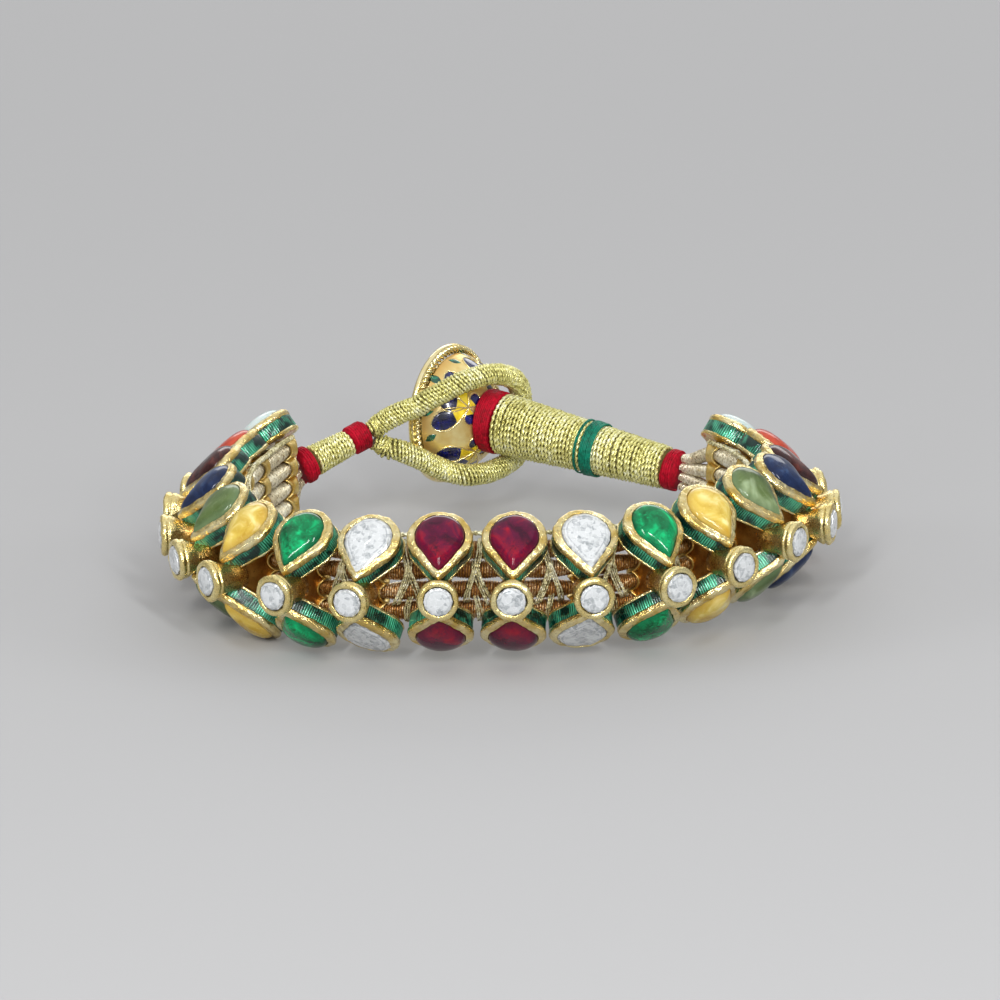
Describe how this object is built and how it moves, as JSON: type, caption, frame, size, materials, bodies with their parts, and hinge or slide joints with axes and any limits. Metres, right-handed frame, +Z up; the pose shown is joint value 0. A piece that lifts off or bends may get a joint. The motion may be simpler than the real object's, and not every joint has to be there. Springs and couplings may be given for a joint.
{
  "type": "bracelet",
  "caption": "Gem-set bracelet of enamelled gold bow-tie settings on metal-wound cords, closed by a corded loop over a domed enamelled button.",
  "frame": {"origin": "centre of the bounding box at its lowest level, on the surface the bracelet rests on", "axes": "+Z up, along the ring's axis; the clasp is towards +Y and the middle of the front is towards -Y; +X is to the right seen from the front"},
  "size_m": [0.0686, 0.0698, 0.0171],
  "materials": {
    "gold": "hand-worked yellow gold, satin to polished",
    "moonstone": "polished translucent white",
    "coral": "polished orange-red",
    "hessonite": "polished dark brown-red",
    "sapphire": "polished dark blue",
    "cats_eye": "polished milky grey-green",
    "topaz": "polished honey yellow",
    "emerald": "polished bright green",
    "diamond": "flat-cut, clear to whitish",
    "ruby": "polished deep crimson",
    "mixed_stones": "polished, the same gems as above",
    "cord": "cotton wound with rose-gold metal thread",
    "gold_thread": "wound pale gold metal thread",
    "crimson_thread": "wound crimson silk thread",
    "green_thread": "wound green silk thread",
    "enamel": "painted enamel on gold, blue flowers"
  },
  "bodies": {
    "root": {"setting_01": "gold", "setting_02": "gold", "setting_03": "gold", "setting_04": "gold", "setting_05": "gold", "setting_06": "gold", "setting_07": "gold", "setting_08": "gold", "setting_09": "gold", "setting_10": "gold", "setting_11": "gold", "setting_12": "gold", "setting_13": "gold", "setting_14": "gold", "setting_15": "gold", "setting_16": "gold", "setting_17": "gold", "setting_18": "gold", "upper_stone_01": "moonstone", "upper_stone_02": "coral", "upper_stone_03": "hessonite", "upper_stone_04": "sapphire", "upper_stone_05": "cats_eye", "upper_stone_06": "topaz", "upper_stone_07": "emerald", "upper_stone_08": "diamond", "upper_stone_09": "ruby", "upper_stone_10": "ruby", "upper_stone_11": "diamond", "upper_stone_12": "emerald", "upper_stone_13": "topaz", "upper_stone_14": "cats_eye", "upper_stone_15": "sapphire", "upper_stone_16": "hessonite", "upper_stone_17": "coral", "upper_stone_18": "moonstone", "lower_stones": "mixed_stones", "round_diamonds": "diamond", "cord_1": "cord", "cord_2": "cord", "cord_3": "cord", "cord_4": "cord", "neck_end_band": "crimson_thread", "neck_wrap": "gold_thread", "neck_fork_band": "crimson_thread", "clasp_loop": "gold_thread", "cone_end_band": "crimson_thread", "cone_wrap": "gold_thread", "cone_green_band": "green_thread", "cone_seat_band": "crimson_thread", "button_shell": "enamel", "button_rim": "gold", "button_face": "gold"}
  },
  "joints": []
}
